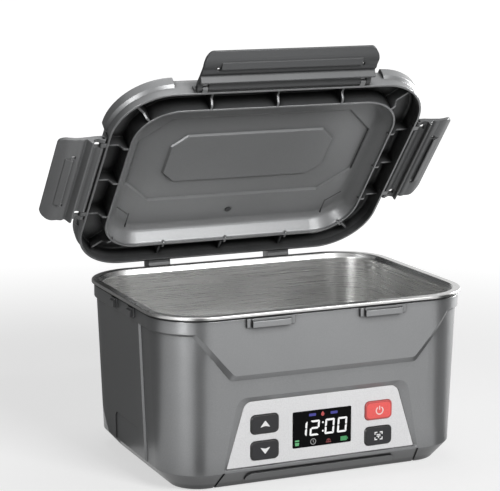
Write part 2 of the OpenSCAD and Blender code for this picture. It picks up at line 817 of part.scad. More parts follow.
module wire_loom() color([0.75, 0.1, 0.08]) {
    board_top = power_board_z + 1.6;
    inlet_end = floor(10 * (cy + wall_r(inlet_z) - 27)) / 10;
    inlet_row = power_board_y + 10.5;
    heater_row = power_board_y - 13.6;
    panel_row = power_board_y - 7;
    left = -cx - 13;
    right = cx - 3;
    for (s = [-1, 1]) {
        // From the inlet to the rear board
        wire_run([
            [inlet_x + s * 5, inlet_end, inlet_z],
            [inlet_x + s * 5, inlet_row + s * 2.2, inlet_z],
            [inlet_x + s * 5, inlet_row + s * 2.2, board_top + 5],
            [24.3, inlet_row + s * 2.2, board_top + 5]]);
        // From the battery to the rear board
        wire_run([
            [11.8 + s * 3.5, tray_y + 30.3, tray_z + 6],
            [11.8 + s * 3.5, tray_y + 35, tray_z + 6],
            [11.8 + s * 3.5, tray_y + 35, board_top + 5],
            [11.8 + s * 3.5, power_board_y - 12.3, board_top + 5]]);
        // From the rear board up to the heater
        wire_run([
            [-44.3, heater_row + s * 2, board_top + 5],
            [left, heater_row + s * 2, board_top + 5],
            [left, heater_row + s * 2, floor_z - 2.4],
            [2.7 - heater_l / 2, heater_row + s * 2, floor_z - 2.4]]);
        // From the rear board forward to the control board
        wire_run([
            [24.9, panel_row + s * 2, board_top + 4],
            [right + s * 2, panel_row + s * 2, board_top + 4],
            [right + s * 2, panel_row + s * 2, board_mid - 7],
            [right + s * 2, -cy - 2.5 - s * 2, board_mid - 7],
            [34 + s * 3, -cy - 2.5 - s * 2, board_mid - 7],
            [34 + s * 3, board_t + 3.5 - board_y, board_mid - 7]]);
    }
}

module hinge_pins() color([0.7, 0.71, 0.73])
    for (s = [-1, 1])
        translate([s * hinge_x, hinge_y, hinge_z])
            rod_x(hinge_pin_r, hinge_arm_w + 2 * soft_gap + 2 * hinge_ear_t - 0.6);

// Pressed steel pot: flat rim, turned-down edge, drawn wall and rounded floor
module food_pot() color([0.82, 0.83, 0.84]) {
    sweep(cx, cy)
        polygon(concat(
            rounded([
                [pot_foot_r - pot_floor_r - 1, pot_z, 0],
                [pot_foot_r, pot_z, pot_floor_r],
                [pot_r, rim_h - 4.2, 1.5],
                [mouth_r + 0.3, rim_h - sheet - 0.6, 1],
                [mouth_r + 1, rim_h - sheet, 0],
                [corner_r - sheet, rim_h - sheet, 0.3],
                [corner_r - sheet, rim_h - bead_h, 0],
                [corner_r, rim_h - bead_h, 0],
                [corner_r, rim_h, 1],
                [mouth_r, rim_h, 1.2],
                [pot_r - sheet, rim_h - 3.8, 1.5],
                [pot_foot_r - sheet, pot_z + sheet, pot_floor_r - sheet],
                [pot_foot_r - pot_floor_r - 1, pot_z + sheet, 0]], 6)));
    block(cx, cy, [
        [pot_foot_r - pot_floor_r - 0.9, pot_z, 0],
        [pot_foot_r - pot_floor_r - 0.9, pot_z + sheet, 0]]);
}

// S-shaped rib across the lid's channel: drawn from the skirt inwards, u = 0 at the inner wall
module channel_rib() {
    len_u = channel_w + 0.8;
    translate([0, 0.8, 0])
        rotate([90, 0, 90])
            linear_extrude(1.6)
                polygon(rounded([
                    [-2.3, crown_z - roof_t + 0.4, 0],
                    [-2.3, lip_z + 0.8, 1],
                    [3.4, lip_z + 0.8, 2.4],
                    [6.6, lip_z + 5.4, 2],
                    [len_u, lip_z + 5.4, 0],
                    [len_u, crown_z - roof_t + 0.4, 0]]));
}

rib_x = 51;
rib_y = 37;

module channel_ribs() {
    for (x = [-rib_x, 0, rib_x], s = [0, 180])
        rotate([0, 0, s])
            translate([x - 0.8, pot_w / 2 - channel_w - 0.8, 0])
                channel_rib();
    for (y = [-rib_y, 0, rib_y], s = [90, -90])
        rotate([0, 0, s])
            translate([y - 0.8, pot_l / 2 - channel_w - 0.8, 0])
                channel_rib();
    for (sx = [-1, 1], sy = [-1, 1])
        translate([sx * inner_cx, sy * inner_cy, 0])
            rotate([0, 0, atan2(sy, sx) - 90])
                translate([-0.8, inner_r - 0.8, 0])
                    channel_rib();
}

// Octagon relief in the ceiling of the lid, as [x, y] half sizes, centre and corner cut
function octagon(l, w, c, g) = [
    [-l / 2 - g, -w / 2 + c], [-l / 2 + c, -w / 2 - g],
    [l / 2 - c, -w / 2 - g], [l / 2 + g, -w / 2 + c],
    [l / 2 + g, w / 2 - c], [l / 2 - c, w / 2 + g],
    [-l / 2 + c, w / 2 + g], [-l / 2 - g, w / 2 - c]];

relief_y = -9;
relief_t = 1.3;

module relief(l, w, c, z0, z1, g0, g1) {
    translate([0, relief_y, 0])
        hull() {
            translate([0, 0, z0])
                linear_extrude(0.01)
                    polygon(octagon(l, w, c, g0));
            translate([0, 0, z1 - 0.01])
                linear_extrude(0.01)
                    polygon(octagon(l, w, c, g1));
        }
}

// Corner bumper on the crown of the lid
module lid_guards() {
    for (q = [0:3]) {
        sx = q == 0 || q == 3 ? 1 : -1;
        sy = q < 2 ? 1 : -1;
        translate([sx * cx, sy * cy, 0])
            rotate([0, 0, 90 * q])
                rotate_extrude(angle = 90)
                    polygon(rounded([
                        [lip_r - 3, lip_z + 6, 0],
                        [lip_r - 0.4, lip_z + 6, 0],
                        [lip_r + 1.4, lip_z + 8.6, 1],
                        [lip_r + 1.4, crown_z + 0.6, 2],
                        [lip_r - 5, crown_z + 0.6, 0.4],
                        [lip_r - 5.4, crown_z - 1, 0]]));
    }
}

// Ears on the lid that hold a latch pin, drawn for the front
module latch_ears(l, y) {
    for (s = [-1, 1])
        translate([s * (l / 2 - ear_in), -y, latch_z]) {
            rod_x(barrel_r, ear_w);
            translate([-ear_w / 2, 0, -barrel_r])
                cube([ear_w, latch_out + 2, 2 * barrel_r]);
        }
    // Raised strip behind the latch
    translate([-l / 2 - 1, -y + latch_out - 0.5, lip_z + 1.2])
        cube([l + 2, 1.4, 5.4]);
}

module latch_pin_bore(l, y) {
    translate([0, -y, latch_z])
        rod_x(latch_pin_r + 0.01, l - 4);
}

vent_at = [0, 52];
vent_r = 5;

module lid_closed() difference() {
    union() {
        difference() {
            union() {
                block(cx, cy, [
                    [lip_r, lip_z, 0.4],
                    [lip_r - 0.7, lip_z + lid_h - 4, 0],
                    [lip_r - 1.9, crown_z, 2.6],
                    [0.5, crown_z, 0]]);
                lid_guards();
                relief(184, 88, 22, crown_z, crown_z + 0.6, 1.5, 0);
            }
            // Inside of the skirt and the channel
            difference() {
                block(cx, cy, [
                    [skirt_in_r, lip_z - 1, 0],
                    [skirt_in_r, lip_z + 5.6, 0],
                    [skirt_in_r - 1.2, crown_z - roof_t, 2],
                    [0.5, crown_z - roof_t, 0]]);
                block(inner_cx, inner_cy, [[inner_r, lip_z + 0.5, 0.5], [inner_r + 0.4, crown_z, 0]]);
            }
            // Hollow inside the inner wall, coved into the ceiling
            block(inner_cx, inner_cy, [
                [inner_r - rim_wall, lip_z - 1, 0],
                [inner_r - rim_wall, lip_z + 2.5, 3],
                [inner_r - 9, crown_z - roof_t - 0.6, 8],
                [0.5, crown_z - roof_t - 0.6, 0]]);
            relief(184, 88, 22, crown_z - roof_t - 0.7, crown_z - roof_t + relief_t - 0.6, 1.2, -1);
        }
        relief(130, 50, 11, crown_z - roof_t - 0.6, crown_z - roof_t + relief_t, -1, 1.2);
        channel_ribs();
        latch_ears(front_latch_l, latch_y);
        for (s = [-1, 1])
            rotate([0, 0, 90 * s])
                translate([-s * side_latch_y, 0, 0])
                    latch_ears(side_latch_l, latch_x);
        // Arms down to the hinge
        for (s = [-1, 1])
            translate([s * hinge_x, 0, 0]) {
                translate([-hinge_arm_w / 2, 0, 0])
                    rotate([90, 0, 90])
                        linear_extrude(hinge_arm_w)
                            polygon(rounded([
                                [cy + lip_r - 1.4, lip_z + 1, 0],
                                [cy + lip_r - 1.4, crown_z - 3, 0],
                                [cy + lip_r + 3, crown_z - 4, 3],
                                [hinge_y + 4.9, hinge_z + 6, 4],
                                [hinge_y + 4.9, hinge_z, 0],
                                [hinge_y - 4.9, hinge_z, 0],
                                [cy + lip_r + 1, lip_z - 1, 1]]));
                translate([0, hinge_y, hinge_z])
                    rod_x(5, hinge_arm_w);
            }
    }
    for (s = [-1, 1])
        translate([s * hinge_x, hinge_y, hinge_z])
            rod_x(hinge_pin_r + run_gap, hinge_arm_w + 4);
    latch_pin_bore(front_latch_l, latch_y);
    for (s = [-1, 1])
        rotate([0, 0, 90 * s])
            translate([-s * side_latch_y, 0, 0])
                latch_pin_bore(side_latch_l, latch_x);
    // Steam vent
    translate([vent_at[0], vent_at[1], crown_z - roof_t - 3]) {
        cylinder(h = 8, r = 2.6);
        translate([0, 0, roof_t + 2.4])
            cylinder(h = 4, r = vent_r + 1.4);
    }
    // Slot in one front corner of the inner wall
    translate([inner_cx + 12, -inner_cy - 22.5, lip_z + 5])
        rotate([0, 0, 27])
            cube([13, 2.4, 12], center = true);
    // Corner grooves at the back of the ceiling
    for (s = [-1, 1])
        for (g = [[-87, 45, 42], [-81.4, 56, 90]])
            translate([s * -g[0], g[1], crown_z - roof_t - 1])
                rotate([0, 0, s > 0 ? 180 - g[2] : g[2]])
                    cube([15, 1.1, 1.4], center = true);
}

module lid_shell() color([0.3, 0.31, 0.32]) with_lid() lid_closed();

module vent_plug() color([0.1, 0.1, 0.11]) with_lid()
    translate([vent_at[0], vent_at[1], crown_z]) {
        translate([0, 0, -0.3])
            cylinder(h = 2.2, r = vent_r);
        translate([0, 0, 1.6])
            slab(3, 14, 1.4, 0, 1.6, 0.4);
        translate([0, 0, -roof_t - 1.2])
            cylinder(h = roof_t + 1.4, r = 2.3);
    }

// Latch section: u away from the pin, w towards the body when it is shut
module latch_section() {
    polygon(rounded([
        [0, -barrel_r, 0],
        [5, -2.2, 4],
        [11, -1.7, 8],
        [18, -1.3, 10],
        [23, -1.6, 14],
        [latch_reach - 0.3, -5.9, 0.8],
        [latch_reach, -4.2, 0.8],
        [23.4, 0.9, 12],
        [18, 0.6, 3],
        [14.4, 1.4, 3],
        [12.2, 0.1, 1.2],
        [10.4, 2.6, 1.2],
        [8.9, 4.6, 0.7],
        [7.7, 4.2, 0.5],
        [7.7, 1.2, 1.2],
        [4.4, 0.3, 2],
        [1.4, barrel_r - 0.5, 0.5],
        [0, barrel_r, 0]], 5));
}

// One latch lying open: x along the pin, y away from the lid, z towards the viewer
module latch(l, ledge_l, ledge_at) {
    difference() {
        intersection() {
            union() {
                rotate([90, 0, 90])
                    linear_extrude(l, center = true)
                        latch_section();
                rod_x(barrel_r, l);
                // Ledge across the finger plate
                translate([ledge_at, 0, 0])
                    rotate([90, 0, 90])
                        linear_extrude(ledge_l, center = true)
                            polygon(rounded([
                                [18.8, -0.4, 0],
                                [18.9, 2.5, 0.4],
                                [19.9, 2.5, 0.6],
                                [24, 0.4, 0],
                                [24, -0.4, 0]], 4));
            }
            // Rounded outline of the free end
            translate([0, 0, -9])
                linear_extrude(18)
                    polygon(rounded([[-l / 2, -3, 0], [l / 2, -3, 0], [l / 2, 8, 6],
                        [l / 2 + 0.8, 18, 6], [l / 2 - 1.5, latch_reach, 9],
                        [1.5 - l / 2, latch_reach, 9], [-l / 2 - 0.8, 18, 6], [-l / 2, 8, 6]], 8));
        }
        rod_x(latch_pin_r + run_gap, l + 2);
        for (s = [-1, 1]) {
            translate([s * (l / 2 - ear_in), 1.4, 0])
                cube([ear_w + 1, 10.4, 12], center = true);
            // Core hole at each end of the ledge
            translate([ledge_at + s * (ledge_l / 2 + 1.4), 18.4, 0])
                cube([2.6, 3, 12], center = true);
        }
    }
}

module front_latch() color([0.3, 0.31, 0.32]) with_lid()
    translate([0, -latch_y, latch_z])
        rotate([180, 0, 0])
            latch(front_latch_l, front_latch_l - 26, 0);

module left_latch() color([0.3, 0.31, 0.32]) with_lid()
    rotate([0, 0, -90])
        translate([side_latch_y, -latch_x, latch_z])
            rotate([180, 0, 0])
                latch(side_latch_l, side_latch_l - 38, -1);

module right_latch() color([0.3, 0.31, 0.32]) with_lid()
    rotate([0, 0, 90])
        translate([-side_latch_y, -latch_x, latch_z])
            rotate([180, 0, 0])
                latch(side_latch_l, side_latch_l - 38, 1);

module front_latch_pin() color([0.7, 0.71, 0.73]) with_lid()
    translate([0, -latch_y, latch_z])
        rod_x(latch_pin_r, front_latch_l - 4.4);

module side_latch_pins() color([0.7, 0.71, 0.73]) with_lid()
    for (s = [-1, 1])
        rotate([0, 0, 90 * s])
            translate([-s * side_latch_y, -latch_x, latch_z])
                rod_x(latch_pin_r, side_latch_l - 4.4);

housing();
base_cover();
cover_screws();
rubber_feet();
control_panel();
display_window();
display_module();
keypad_mat();
control_board();
board_screws();
up_button();
down_button();
power_button();
mode_button();
well_liner();
rim_seal();
heating_plate();
heating_element();
thermostat();
thermal_fuse();
insulation_pad();
heater_straps();
power_board();
battery_tray();
battery_cells();
power_inlet();
wire_loom();
hinge_pins();
food_pot();
lid_shell();
vent_plug();
front_latch();
left_latch();
right_latch();
front_latch_pin();
side_latch_pins();
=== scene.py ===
# %% [markdown]
# Electric lunch box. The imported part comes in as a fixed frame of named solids, each of which
# already has its real shape and place. This lesson gives every solid a material that is named
# for the real one, and adds what is too thin for the solids: the soft caps of the keys, the
# printed signs and the lit segments.

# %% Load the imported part
import math

import bmesh
import bpy
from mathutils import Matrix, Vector


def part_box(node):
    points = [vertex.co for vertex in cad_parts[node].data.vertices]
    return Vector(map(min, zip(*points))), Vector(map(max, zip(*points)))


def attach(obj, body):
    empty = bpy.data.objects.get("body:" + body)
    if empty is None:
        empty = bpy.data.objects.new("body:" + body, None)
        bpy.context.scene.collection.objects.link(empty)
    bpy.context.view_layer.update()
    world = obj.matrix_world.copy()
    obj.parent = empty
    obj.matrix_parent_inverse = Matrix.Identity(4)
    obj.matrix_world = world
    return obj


MM_PER_M = 1000

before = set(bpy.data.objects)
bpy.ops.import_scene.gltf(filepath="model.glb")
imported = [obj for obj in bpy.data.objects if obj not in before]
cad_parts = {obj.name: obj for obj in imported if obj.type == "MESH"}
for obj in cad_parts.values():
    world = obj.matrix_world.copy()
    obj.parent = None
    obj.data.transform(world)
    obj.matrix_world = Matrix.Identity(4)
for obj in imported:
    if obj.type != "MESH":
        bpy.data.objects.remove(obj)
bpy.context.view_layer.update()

# %% [markdown]
# The camera stands where the photographer stood: 1.3 m from the box, in front of it and a little
# to its left. It is turned 23.6 degrees to the right and looks down by 10.7 degrees, with a long
# lens. A long lens keeps the upright edges nearly parallel, as they are in product pictures.

# %% Camera
look_down_deg, turn_right_deg = 10.67, 23.6
camera_data = bpy.data.cameras.new("photo_camera")
camera_data.sensor_width = 36
camera_data.lens = 131.89
camera_data.clip_end = 50
camera = bpy.data.objects.new("photo_camera", camera_data)
camera.location = (-0.5384, -1.1889, 0.3984)
camera.rotation_euler = (math.radians(90 - look_down_deg), 0, math.radians(-turn_right_deg))
bpy.context.scene.collection.objects.link(camera)
bpy.context.scene.camera = camera
print("camera", [round(v, 4) for v in camera.location])

# %% [markdown]
# Screens store colours as sRGB, but light adds up in linear numbers. One function turns the
# usual hex value into the linear colour that a shader works with, so that every colour below
# can be read and changed as it would be in a paint program. Its numbers are those of the sRGB
# standard: a short straight piece near black, and a power curve above it.

# %% Colours


def colour(code):
    """Linear colour of an sRGB hex value such as "8F8F8E"."""
    parts = [int(code[i:i + 2], 16) / 255 for i in (0, 2, 4)]
    linear = [c / 12.92 if c <= 0.04045 else ((c + 0.055) / 1.055) ** 2.4 for c in parts]
    return (*linear, 1.0)


def tinted(code, share):
    """The same colour, with its linear parts multiplied by a share."""
    return [min(1, c * share) for c in colour(code)[:3]] + [1]


print("mid grey 8C8C8C is", [round(v, 3) for v in colour("8C8C8C")])

# %% [markdown]
# A material is a small tree of nodes. One helper adds a node with its settings and links it to
# the sockets that feed it. A second helper starts a material with its shader. The Mix node has
# several sockets of the same name, so its colour sockets are picked by number.

# %% Nodes and materials
MIX_FIRST, MIX_SECOND, MIX_RESULT = 6, 7, 2


def add_node(tree, kind, inputs=None, **settings):
    """Adds one node with its settings; each input gets a value or a link from a socket."""
    node = tree.nodes.new(kind)
    for name, value in settings.items():
        setattr(node, name, value)
    for name, value in (inputs or {}).items():
        if isinstance(value, bpy.types.NodeSocket):
            tree.links.new(value, node.inputs[name])
        else:
            node.inputs[name].default_value = value
    return node


def new_material(name, base, roughness, **sockets):
    """A material with its shader's constants set on the shader itself."""
    material = bpy.data.materials.new(name)
    material.use_nodes = True
    shader = material.node_tree.nodes["Principled BSDF"]
    shader.inputs["Base Color"].default_value = base
    shader.inputs["Roughness"].default_value = roughness
    for socket, value in sockets.items():
        shader.inputs[socket.replace("_", " ")].default_value = value
    return material, shader


print("helpers: add_node, new_material")

# %% [markdown]
# Product pictures are taken in a white room. This room is white for the camera and in
# reflections, and gives everything else only a low, even light, so that the lamps decide which
# sides are bright. The Light Path node tells the two kinds of ray apart.

# %% White room


def seen_by_eye(tree):
    """1 for a ray from the camera, a mirrored ray or one through glass, and 0 for any other."""
    path = add_node(tree, "ShaderNodeLightPath")
    shiny = add_node(
        tree, "ShaderNodeMath",
        {0: path.outputs["Is Glossy Ray"], 1: path.outputs["Is Transmission Ray"]},
        operation="MAXIMUM")
    seen = add_node(
        tree, "ShaderNodeMath",
        {0: path.outputs["Is Camera Ray"], 1: shiny.outputs[0]},
        operation="MAXIMUM")
    return seen.outputs[0]


world = bpy.data.worlds.new("white_room")
bpy.context.scene.world = world
world.use_nodes = True
tree = world.node_tree
tree.nodes.clear()
seen = seen_by_eye(tree)
even = add_node(tree, "ShaderNodeBackground", {"Color": colour("FFFFFF"), "Strength": 0.16})
white = add_node(tree, "ShaderNodeBackground", {"Color": colour("FFFFFF"), "Strength": 1.0})
mix = add_node(
    tree, "ShaderNodeMixShader", {0: seen, 1: even.outputs[0], 2: white.outputs[0]})
add_node(tree, "ShaderNodeOutputWorld", {"Surface": mix.outputs[0]})
print("world nodes:", len(tree.nodes))

# %% [markdown]
# The main lamp is a soft box that stands high in front and a little to the right: the left wall
# and every edge that faces down stay dark, as in the photograph. A weaker one hangs above
# and behind. Two tall narrow lamps draw the upright streaks on the rounded corners. They are
# for mirrored rays: with their diffuse rays switched off, they brighten no wall.

# %% Lamps


def soft_box(name, place, aim, size, power, streak_only=False):
    """A square lamp that points from its place to what it lights, or only draws a highlight."""
    data = bpy.data.lights.new(name, "AREA")
    data.shape = "RECTANGLE"
    data.size, data.size_y = size
    data.energy = power
    lamp = bpy.data.objects.new(name, data)
    lamp.location = place
    lamp.rotation_euler = (Vector(aim) - Vector(place)).to_track_quat("-Z", "Y").to_euler()
    lamp.visible_diffuse = not streak_only
    bpy.context.scene.collection.objects.link(lamp)


soft_box("front_box", (0.45, -1.75, 1.05), (0, 0, 0.12), (0.8, 0.6), 33)
soft_box("top_box", (0.1, 0.5, 1.6), (0, 0, 0.1), (0.8, 0.8), 4.5)
soft_box("right_strip", (1.25, 0.25, 0.3), (0, 0, 0.1), (0.14, 0.8), 26, streak_only=True)
soft_box("left_strip", (-1.0, -0.8, 0.3), (0, 0, 0.1), (0.12, 0.8), 12, streak_only=True)

# %% [markdown]
# The floor is a plain white sweep. It takes the soft shadow of the box and goes over into the
# white room without an edge, because part of its white is its own light for the camera, which
# grows from near the box outwards. Paper that throws less light back keeps the lower edges of
# the box dark.

# %% Floor
half_floor_m = 6
corners = [(-half_floor_m, -half_floor_m, 0), (half_floor_m, -half_floor_m, 0),
           (half_floor_m, half_floor_m, 0), (-half_floor_m, half_floor_m, 0)]
mesh = bpy.data.meshes.new("floor")
mesh.from_pydata(corners, [], [(0, 1, 2, 3)])
floor = bpy.data.objects.new("floor", mesh)
bpy.context.scene.collection.objects.link(floor)
paper_sweep = bpy.data.materials.new("white_paper_sweep")
paper_sweep.use_nodes = True
tree = paper_sweep.node_tree
tree.nodes.clear()
seen = seen_by_eye(tree)
spot = add_node(tree, "ShaderNodeTexCoord")
reach = add_node(tree, "ShaderNodeVectorMath", {0: spot.outputs["Object"]}, operation="LENGTH")
near = add_node(
    tree, "ShaderNodeMapRange",
    {"Value": reach.outputs["Value"], "From Min": 0.3, "From Max": 1.1, "To Min": 0.6,
     "To Max": 1.0},
    interpolation_type="SMOOTHSTEP")
glow = add_node(tree, "ShaderNodeMath", {0: seen, 1: near.outputs[0]}, operation="MULTIPLY")
own = add_node(
    tree, "ShaderNodeEmission", {"Color": colour("FFFFFF"), "Strength": glow.outputs[0]})
paper = add_node(tree, "ShaderNodeBsdfDiffuse", {"Color": colour("A8A8A8")})
both = add_node(tree, "ShaderNodeAddShader", {0: own.outputs[0], 1: paper.outputs[0]})
add_node(tree, "ShaderNodeOutputMaterial", {"Surface": both.outputs[0]})
mesh.materials.append(paper_sweep)
print("floor", 2 * half_floor_m, "m square, no edge in view")

# %% [markdown]
# A satin surface gets its shape from what it mirrors. Photographers stand dark cards just
# outside the picture, so that rounded corners show dark bands beside their bright streaks. Two
# of the cards here are black. The third stands to the left and behind. Black would be too much
# there, so it has a dim light of its own, which makes it a dark grey. All three are seen by
# mirrored rays alone: they throw no shadow and never show in the picture.

# %% Dark cards
card_foot_m = 0.004
black_felt, _ = new_material("felt_black", colour("141414"), 0.9)
dim_felt, _ = new_material(
    "felt_grey_lit", colour("141414"), 0.9,
    Emission_Color=colour("FFFFFF"), Emission_Strength=0.16)


def dark_card(name, felt, foot, heading, half_turn, near_m, far_m=0.5, top_m=0.5):
    """A leaning card in a sector round a corner's foot; heading 0 is towards the front."""
    points = []
    for reach, z in ((near_m, card_foot_m), (far_m, top_m)):
        for turn in (-half_turn, half_turn):
            a = math.radians(heading + turn)
            points.append((foot[0] + reach * math.sin(a), foot[1] - reach * math.cos(a), z))
    mesh = bpy.data.meshes.new(name)
    mesh.from_pydata(points, [], [(0, 1, 3, 2)])
    mesh.materials.append(felt)
    card = bpy.data.objects.new(name, mesh)
    bpy.context.scene.collection.objects.link(card)
    for ray in ("camera", "diffuse", "transmission", "shadow", "volume_scatter"):
        setattr(card, f"visible_{ray}", False)


dark_card("card_right", black_felt, (0.085, -0.055), 56, 22, 0.04)
dark_card("card_front", black_felt, (-0.085, -0.055), -16, 11, 0.05)
dark_card("card_left", dim_felt, (-0.12, 0.0), -142, 60, 0.05, 0.8, 0.6)

# %% [markdown]
# The walls and the lid are moulded plastic. The mould is spark eroded, which leaves a fine
# satin grain that scatters the light, and every edge has a small radius. A real grain of 0.1 mm
# is finer than a pixel here, so it is drawn at 0.6 mm, and it is shallow. The Bevel node turns
# the light at sharp edges as that small radius would. Shade is painted into the colour of the
# creases, which the Ambient Occlusion node finds: once within 30 mm, for the hollow forms, and
# once within 6 mm, for the grooves.

# %% Moulded plastic


def moulded_plastic(name, code, roughness, grain_mm=0.6, depth_mm=0.02, edge_mm=0.35,
                    blotch=0.05, crease_shade=0.0, **sockets):
    """Moulded plastic: even colour with faint flow marks, a spark-eroded grain, soft edges and, if
    asked, painted shade in the creases.
    """
    material, shader = new_material(name, colour(code), roughness, **sockets)
    tree = material.node_tree
    place = add_node(tree, "ShaderNodeTexCoord")
    flow_mm = 70
    flow = add_node(
        tree, "ShaderNodeTexNoise",
        {"Vector": place.outputs["Object"], "Scale": MM_PER_M / flow_mm, "Detail": 3.0,
         "Roughness": 0.55})
    tint = add_node(
        tree, "ShaderNodeMix",
        {0: flow.outputs["Fac"], MIX_FIRST: tinted(code, 1 - blotch),
         MIX_SECOND: tinted(code, 1 + blotch)},
        data_type="RGBA")
    grain = add_node(
        tree, "ShaderNodeTexNoise",
        {"Vector": place.outputs["Object"], "Scale": MM_PER_M / grain_mm, "Detail": 2.0})
    speck = add_node(
        tree, "ShaderNodeMapRange",
        {"Value": grain.outputs["Fac"], "From Min": 0.3, "From Max": 0.7, "To Min": 0.94,
         "To Max": 1.06})
    toned = add_node(
        tree, "ShaderNodeVectorMath",
        {0: tint.outputs[MIX_RESULT], "Scale": speck.outputs[0]}, operation="SCALE")
    # painted shade: the colour is darkened where the Ambient Occlusion node finds creases
    if crease_shade:
        toned = paint_crease_shade(tree, toned, crease_shade)
    tree.links.new(toned.outputs[0], shader.inputs["Base Color"])
    satin = add_node(
        tree, "ShaderNodeMapRange",
        {"Value": flow.outputs["Fac"], "From Min": 0.3, "From Max": 0.7,
         "To Min": roughness - 0.03, "To Max": roughness + 0.03})
    tree.links.new(satin.outputs[0], shader.inputs["Roughness"])
    edge = add_node(tree, "ShaderNodeBevel", {"Radius": edge_mm / MM_PER_M}, samples=4)
    bump = add_node(
        tree, "ShaderNodeBump",
        {"Height": grain.outputs["Fac"], "Distance": depth_mm / MM_PER_M, "Strength": 0.5,
         "Normal": edge.outputs[0]})
    tree.links.new(bump.outputs[0], shader.inputs["Normal"])
    return material


def paint_crease_shade(tree, toned, crease_shade):
    """Paints shade into the colour of hollow forms by the given share, and into narrow grooves by
    most of it.
    """
    for reach_m, deep, open_air, least in ((0.03, 0.3, 0.95, 1 - crease_shade),
                                           (0.006, 0.62, 0.97, 1 - 0.8 * crease_shade)):
        nook = add_node(tree, "ShaderNodeAmbientOcclusion", {"Distance": reach_m}, samples=8)
        shade = add_node(
            tree, "ShaderNodeMapRange",
            {"Value": nook.outputs["AO"], "From Min": deep, "From Max": open_air,
             "To Min": least, "To Max": 1.0})
        toned = add_node(
            tree, "ShaderNodeVectorMath",
            {0: toned.outputs[0], "Scale": shade.outputs[0]}, operation="SCALE")
    return toned


dressed = {}


def dress(node, material):
    """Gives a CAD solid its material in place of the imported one."""
    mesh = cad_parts[node].data
    for i in range(len(mesh.materials)):
        mesh.materials[i] = material
    if not mesh.materials:
        mesh.materials.append(material)
    for face in mesh.polygons:
        face.material_index = 0
    dressed[node] = material.name


print("helpers: moulded_plastic, paint_crease_shade, dress")

# %% [markdown]
# The body and the lid look like a grey with metal flake in it, which mirrors more than plain
# plastic does: a share on the Metallic socket stands for the flake. The latches are one grey
# plastic, and each catches another part of the room; each is given its own lighter or darker
# grey, which is painted light and shade, to come nearer to the photograph. The panel is white
# and has a thin clear coat.

# %% Grey, black and white mouldings
dress("housing", moulded_plastic(
    "abs_moulded_satin_grey", "8A8B8C", 0.34, crease_shade=0.6, Metallic=0.65))
dress("lid_shell", moulded_plastic(
    "pp_moulded_satin_dark_grey", "8C8D8E", 0.36, edge_mm=0.8, crease_shade=0.9, Metallic=0.35))
# painted light and shade: each latch gets its own grey for the light that falls on it
for node, code in (("front_latch", "4C4D4E"), ("left_latch", "88898A"), ("right_latch", "606162")):
    dress(node, moulded_plastic(
        f"pp_moulded_satin_{node}", code, 0.44, edge_mm=0.7, crease_shade=0.5, Metallic=0.2))
dress("base_cover", moulded_plastic("abs_moulded_black", "1E1E20", 0.5))
dress("battery_tray", moulded_plastic("pp_moulded_black_tray", "262628", 0.52))
dress("control_panel", moulded_plastic(
    "abs_moulded_white_gloss", "E3E3E4", 0.26, grain_mm=0.9, depth_mm=0.006, blotch=0.015,
    Coat_Weight=0.25, Coat_Roughness=0.12))
print("moulded plastic on", len(dressed), "solids")

# %% [markdown]
# The pot is pressed from stainless steel sheet and then brushed. Brushing leaves fine lines that
# run round the pot, so the metal is brighter along them. The noise is squashed along the height
# to draw those lines, about 80 mm long and 0.5 mm apart so that they show. The other metals are
# drawn the same way, each with its own colour, line width and roughness.

# %% Brushed metal
soft_edge_m = 0.0003
strokes_per_m = 12


def brushed_steel(name, code, roughness, line_mm=0.5, depth_mm=0.004):
    """Sheet steel with fine level brush lines."""
    material, shader = new_material(name, colour(code), roughness, Metallic=1.0)
    tree = material.node_tree
    place = add_node(tree, "ShaderNodeTexCoord")
    squash = add_node(
        tree, "ShaderNodeMapping",
        {"Vector": place.outputs["Object"],
         "Scale": (strokes_per_m, strokes_per_m, MM_PER_M / line_mm)})
    lines = add_node(
        tree, "ShaderNodeTexNoise",
        {"Vector": squash.outputs[0], "Scale": 1.0, "Detail": 4.0, "Roughness": 0.6})
    cloud_mm = 45
    cloud = add_node(
        tree, "ShaderNodeTexNoise",
        {"Vector": place.outputs["Object"], "Scale": MM_PER_M / cloud_mm, "Detail": 2.0})
    rough = add_node(
        tree, "ShaderNodeMapRange",
        {"Value": lines.outputs["Fac"], "From Min": 0.25, "From Max": 0.75,
         "To Min": roughness - 0.05, "To Max": roughness + 0.07})
    tree.links.new(rough.outputs[0], shader.inputs["Roughness"])
    shade = add_node(
        tree, "ShaderNodeMapRange",
        {"Value": cloud.outputs["Fac"], "From Min": 0.3, "From Max": 0.7, "To Min": 0.94,
         "To Max": 1.04})
    tone = add_node(
        tree, "ShaderNodeVectorMath", {0: colour(code)[:3], "Scale": shade.outputs[0]},
        operation="SCALE")
    tree.links.new(tone.outputs[0], shader.inputs["Base Color"])
    edge = add_node(tree, "ShaderNodeBevel", {"Radius": soft_edge_m}, samples=4)
    bump = add_node(
        tree, "ShaderNodeBump",
        {"Height": lines.outputs["Fac"], "Distance": depth_mm / MM_PER_M, "Strength": 0.5,
         "Normal": edge.outputs[0]})
    tree.links.new(bump.outputs[0], shader.inputs["Normal"])
    return material


